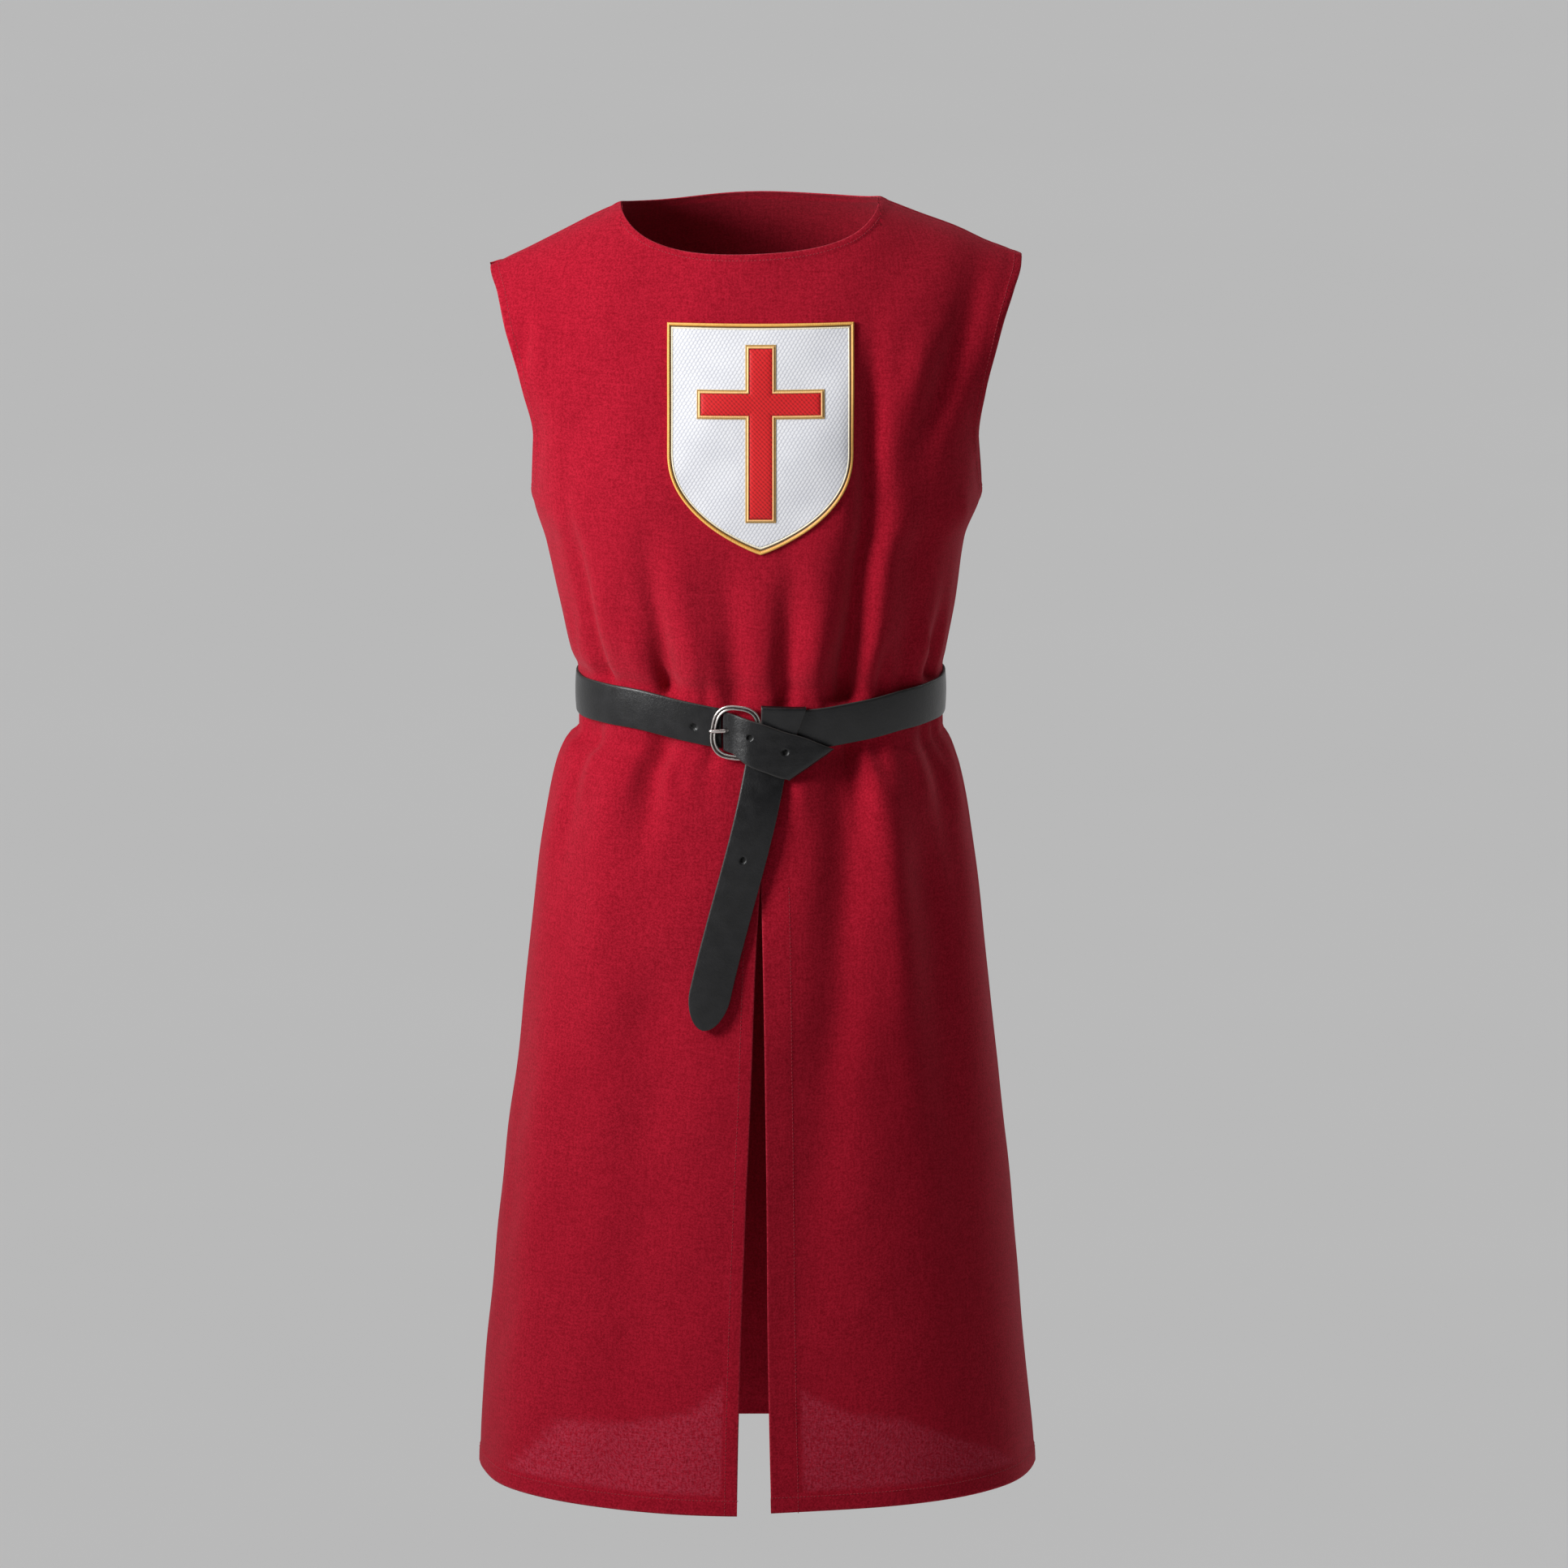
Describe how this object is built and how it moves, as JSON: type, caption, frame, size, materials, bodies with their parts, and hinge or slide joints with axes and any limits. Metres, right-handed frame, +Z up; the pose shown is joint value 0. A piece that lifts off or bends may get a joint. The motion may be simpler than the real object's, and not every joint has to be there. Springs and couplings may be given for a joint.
{
  "type": "knight tabard, worn and belted, as a hollow garment",
  "caption": "Red sleeveless tabard on a worn form, with a heater shield patch, a front slit and a knotted leather belt.",
  "frame": {"origin": "on the centre line between the two neck points of the shoulder line, where the garment hangs from the wearer's shoulders", "axes": "+Z up, -Y out of the front, +X towards the viewer's right when the front is seen"},
  "size_m": [0.5039, 0.3223, 1.1872],
  "materials": {
    "red_cloth": "plain-woven cotton and linen, matt, with a short nap",
    "white_embroidery": "twill embroidery, soft sheen",
    "gold_cord": "couched cord, satin",
    "red_embroidery": "satin stitch",
    "black_leather": "soft gloss, fine grain",
    "aged_nickel": "aged nickel plate, worn bright on its edges"
  },
  "bodies": {
    "root": {"front_panel": "red_cloth", "back_panel": "red_cloth", "shield_ground": "white_embroidery", "shield_border": "gold_cord", "cross_edge": "gold_cord", "cross_fill": "red_embroidery", "belt_strap": "black_leather", "belt_fold": "black_leather", "belt_loop": "black_leather", "belt_tail": "black_leather", "buckle_frame": "aged_nickel", "buckle_prong": "aged_nickel"}
  },
  "joints": []
}
